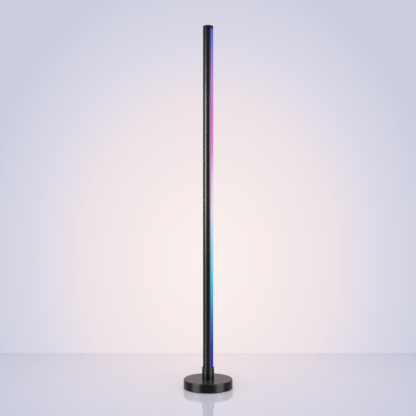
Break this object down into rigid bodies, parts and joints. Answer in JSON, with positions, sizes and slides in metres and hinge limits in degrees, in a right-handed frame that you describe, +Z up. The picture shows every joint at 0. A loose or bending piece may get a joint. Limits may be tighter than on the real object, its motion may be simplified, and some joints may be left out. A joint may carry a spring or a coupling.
{
  "type": "floor lamp",
  "caption": "Corner floor lamp: slim round black column on a disc base, with a full-length opal light slot down its side",
  "frame": {"origin": "middle of the round base, on the floor under its foot pads", "axes": "+Z up along the column, +X the way the light slot faces, +Y the side of the base with the power inlet"},
  "size_m": [0.19, 0.19, 1.4],
  "materials": {
    "satin_black": "satin black powder coat over steel and aluminium",
    "cap_black": "fine matt moulded plastic",
    "opal": "opal diffuser, lit",
    "cast_iron": "as cast",
    "black_plate": "black painted sheet steel",
    "zinc_steel": "zinc plated",
    "bare_aluminium": "machined, bare",
    "pad_rubber": "soft black rubber",
    "strip_white": "white solder mask",
    "chip_yellow": "white package with a clear window, lit",
    "board_green": "green solder mask",
    "chip_black": "moulded epoxy",
    "capacitor_can": "sleeved can",
    "connector_white": "natural nylon",
    "inlet_black": "glossy moulding",
    "contact_metal": "nickel plated contact",
    "lead_black": "soft black sheath"
  },
  "bodies": {
    "root": {"base_shell": "satin_black", "socket_collar": "satin_black", "pole_lower": "satin_black", "pole_middle": "satin_black", "pole_upper": "satin_black", "top_cap": "cap_black", "diffuser": "opal", "base_weight": "cast_iron", "base_plate": "black_plate", "base_plate_screws": "zinc_steel", "centre_stud": "zinc_steel", "stud_washer": "zinc_steel", "stud_nut": "zinc_steel", "end_plate_screws": "zinc_steel", "joiner_screws": "zinc_steel", "board_screws": "zinc_steel", "pole_end_plate": "bare_aluminium", "joiner_lower": "bare_aluminium", "joiner_upper": "bare_aluminium", "foot_pads": "pad_rubber", "led_strip": "strip_white", "led_chips": "chip_yellow", "controller_board": "board_green", "board_chips": "chip_black", "board_capacitor": "capacitor_can", "lead_connector": "connector_white", "dc_jack": "inlet_black", "jack_pin": "contact_metal", "strip_lead": "lead_black"}
  },
  "joints": []
}
